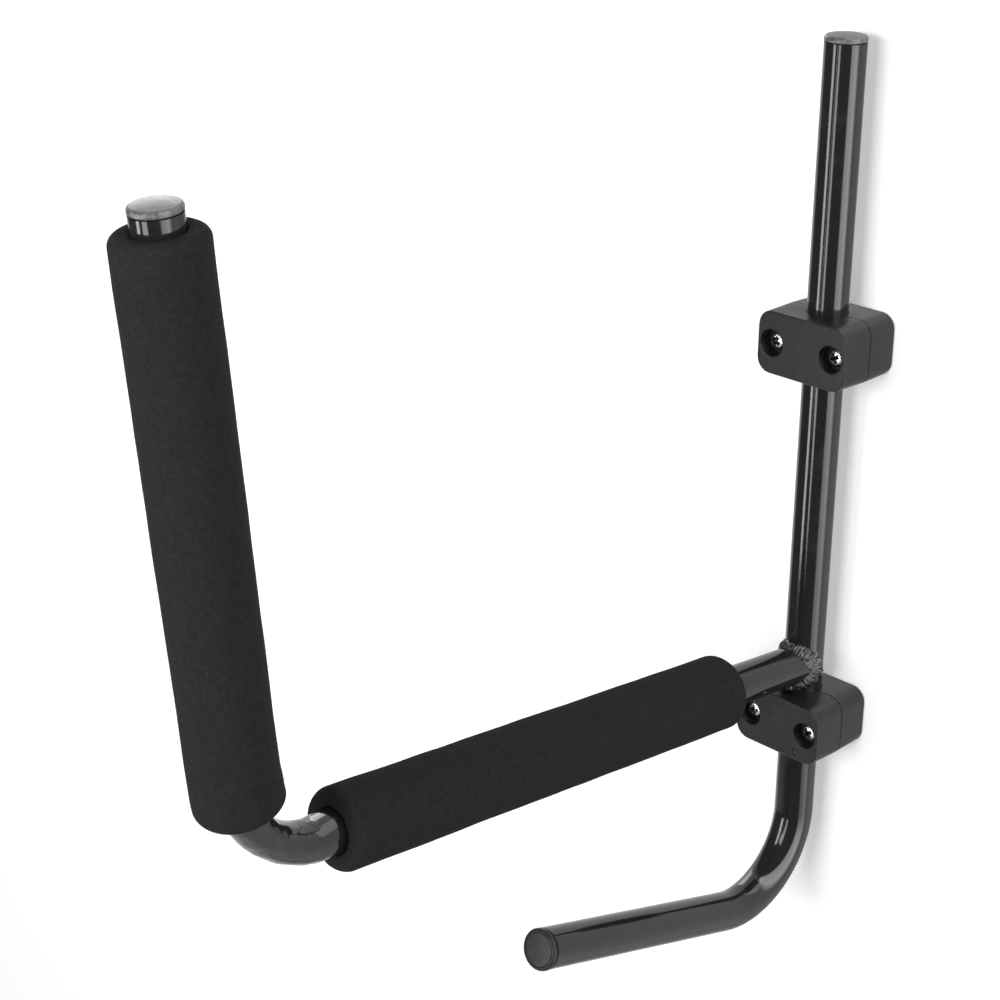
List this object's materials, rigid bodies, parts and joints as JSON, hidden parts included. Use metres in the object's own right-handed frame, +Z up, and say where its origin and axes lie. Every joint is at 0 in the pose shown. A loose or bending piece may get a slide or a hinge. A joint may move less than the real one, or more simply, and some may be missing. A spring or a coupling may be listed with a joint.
{
  "type": "kayak wall rack",
  "caption": "Padded L-shaped steel arm with a hook foot that swings on a vertical tube held by two split wall clamps, for resting a kayak on its side.",
  "frame": {"origin": "middle of the lower clamp's wall face", "axes": "+Z up along the upright; +Y into the wall, out of the clamps' wall faces; at rest the arm stands out towards -Y"},
  "size_m": [0.0664, 0.5658, 0.577],
  "materials": {
    "tube_enamel": "gloss black enamel on bent steel tube",
    "weld_enamel": "black enamel over a rough weld bead",
    "foam": "matt black closed-cell foam",
    "tube_cap": "satin black moulded cap",
    "leg_cap": "satin black moulded cap with a rim groove",
    "clamp_plastic": "satin black moulded plastic",
    "screw_zinc": "bright zinc-plated steel"
  },
  "bodies": {
    "wall_clamps": {"lower_clamp_front": "clamp_plastic", "lower_clamp_rear": "clamp_plastic", "upper_clamp_front": "clamp_plastic", "upper_clamp_rear": "clamp_plastic", "lower_screw_left": "screw_zinc", "lower_screw_right": "screw_zinc", "upper_screw_left": "screw_zinc", "upper_screw_right": "screw_zinc"},
    "swing_arm": {"upright_tube": "tube_enamel", "arm_tube": "tube_enamel", "weld_bead": "weld_enamel", "arm_foam": "foam", "post_foam": "foam", "upright_cap": "tube_cap", "post_cap": "tube_cap", "leg_cap": "leg_cap"}
  },
  "joints": [
    {"name": "arm_swivel", "type": "hinge", "parent": "wall_clamps", "child": "swing_arm", "pos_m": [0, -0.0245, 0], "axis": [0, 0, 1], "range_deg": [-90, 90]}
  ]
}
